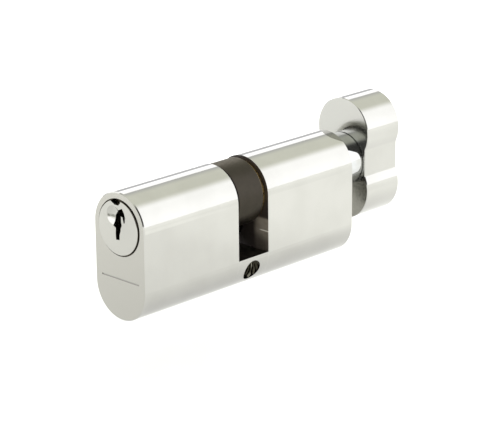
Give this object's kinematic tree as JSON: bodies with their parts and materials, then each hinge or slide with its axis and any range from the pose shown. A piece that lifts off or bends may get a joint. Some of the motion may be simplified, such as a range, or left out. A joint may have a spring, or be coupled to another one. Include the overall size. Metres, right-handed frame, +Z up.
{
  "type": "oval profile lock cylinder",
  "caption": "Oval-profile pin tumbler lock cylinder with a keyway outside, a central cam and a thumbturn knob inside.",
  "frame": {"origin": "centre of the fixing screw's hole, on the body's middle plane, from which both lengths of the cylinder are measured", "axes": "+X along the plugs from the key face towards the thumbturn, +Y along the fixing screw, +Z up from the screw to the plugs"},
  "size_m": [0.0876, 0.0192, 0.0379],
  "materials": {
    "chrome_body": "polished bright chrome over brass, soft warm grey reflections, brass showing in the slot and bores",
    "chrome_plug": "satin chrome face with fine turning marks, plain brass inside",
    "chrome_neck": "polished chrome neck, plain brass inside the body",
    "chrome_knob": "polished bright chrome",
    "burnished_steel": "dark grey-brown burnished sintered steel, slightly rubbed at the edges",
    "bronze_clip": "spring bronze, lightly tarnished",
    "clutch_steel": "machined steel with a thin oil film",
    "pin_brass": "turned brass",
    "pin_steel": "turned steel",
    "spring_steel": "drawn stainless spring wire",
    "black_steel": "black oxide steel"
  },
  "bodies": {
    "housing": {"housing": "chrome_body", "pin_spring_1": "spring_steel", "pin_spring_2": "spring_steel", "pin_spring_3": "spring_steel", "pin_spring_4": "spring_steel", "pin_spring_5": "spring_steel", "chamber_plug_1": "chrome_body", "chamber_plug_2": "chrome_body", "chamber_plug_3": "chrome_body", "chamber_plug_4": "chrome_body", "chamber_plug_5": "chrome_body"},
    "key_plug": {"key_plug": "chrome_plug", "key_plug_clip": "bronze_clip"},
    "thumbturn": {"turn_plug": "chrome_neck", "turn_plug_clip": "bronze_clip", "turn_knob": "chrome_knob", "knob_screw": "black_steel", "clutch_spring": "spring_steel"},
    "cam": {"cam": "burnished_steel"},
    "key_clutch": {"key_clutch": "clutch_steel"},
    "turn_clutch": {"turn_clutch": "clutch_steel"},
    "key_pin_1": {"key_pin_1": "pin_brass"},
    "key_pin_2": {"key_pin_2": "pin_brass"},
    "key_pin_3": {"key_pin_3": "pin_brass"},
    "key_pin_4": {"key_pin_4": "pin_brass"},
    "key_pin_5": {"key_pin_5": "pin_brass"},
    "driver_pin_1": {"driver_pin_1": "pin_steel"},
    "driver_pin_2": {"driver_pin_2": "pin_steel"},
    "driver_pin_3": {"driver_pin_3": "pin_steel"},
    "driver_pin_4": {"driver_pin_4": "pin_steel"},
    "driver_pin_5": {"driver_pin_5": "pin_steel"}
  },
  "joints": [
    {"name": "key_plug_spin", "type": "hinge", "parent": "housing", "child": "key_plug", "pos_m": [-0.035, 0, 0.0174], "axis": [1, 0, 0], "continuous": true},
    {"name": "turn_spin", "type": "hinge", "parent": "housing", "child": "thumbturn", "pos_m": [0.035, 0, 0.0174], "axis": [1, 0, 0], "continuous": true},
    {"name": "cam_spin", "type": "hinge", "parent": "housing", "child": "cam", "pos_m": [0, 0, 0.0174], "axis": [1, 0, 0], "continuous": true},
    {"name": "key_clutch_slide", "type": "slide", "parent": "key_plug", "child": "key_clutch", "axis": [1, 0, 0], "range_m": [0, 0.0021], "stiffness_N_per_m": 150, "springref_m": -0.002},
    {"name": "turn_clutch_slide", "type": "slide", "parent": "thumbturn", "child": "turn_clutch", "axis": [1, 0, 0], "range_m": [0, 0.0021], "deforming": ["clutch_spring"]},
    {"name": "key_pin_1_slide", "type": "slide", "parent": "key_plug", "child": "key_pin_1", "axis": [0, 0, 1], "range_m": [0, 0.0039]},
    {"name": "key_pin_2_slide", "type": "slide", "parent": "key_plug", "child": "key_pin_2", "axis": [0, 0, 1], "range_m": [0, 0.00225]},
    {"name": "key_pin_3_slide", "type": "slide", "parent": "key_plug", "child": "key_pin_3", "axis": [0, 0, 1], "range_m": [0, 0.00335]},
    {"name": "key_pin_4_slide", "type": "slide", "parent": "key_plug", "child": "key_pin_4", "axis": [0, 0, 1], "range_m": [0, 0.0017]},
    {"name": "key_pin_5_slide", "type": "slide", "parent": "key_plug", "child": "key_pin_5", "axis": [0, 0, 1], "range_m": [0, 0.0028]},
    {"name": "driver_pin_1_slide", "type": "slide", "parent": "housing", "child": "driver_pin_1", "axis": [0, 0, -1], "range_m": [0, 0.0024], "stiffness_N_per_m": 120, "springref_m": -0.002, "deforming": ["pin_spring_1"]},
    {"name": "driver_pin_2_slide", "type": "slide", "parent": "housing", "child": "driver_pin_2", "axis": [0, 0, -1], "range_m": [0, 0.0024], "stiffness_N_per_m": 120, "springref_m": -0.002, "deforming": ["pin_spring_2"]},
    {"name": "driver_pin_3_slide", "type": "slide", "parent": "housing", "child": "driver_pin_3", "axis": [0, 0, -1], "range_m": [0, 0.0024], "stiffness_N_per_m": 120, "springref_m": -0.002, "deforming": ["pin_spring_3"]},
    {"name": "driver_pin_4_slide", "type": "slide", "parent": "housing", "child": "driver_pin_4", "axis": [0, 0, -1], "range_m": [0, 0.0024], "stiffness_N_per_m": 120, "springref_m": -0.002, "deforming": ["pin_spring_4"]},
    {"name": "driver_pin_5_slide", "type": "slide", "parent": "housing", "child": "driver_pin_5", "axis": [0, 0, -1], "range_m": [0, 0.0024], "stiffness_N_per_m": 120, "springref_m": -0.002, "deforming": ["pin_spring_5"]}
  ],
  "couplings": [
    {"joint": "cam_spin", "follows": "turn_spin", "ratio": 1},
    {"joint": "turn_clutch_slide", "follows": "key_clutch_slide", "ratio": 1}
  ]
}
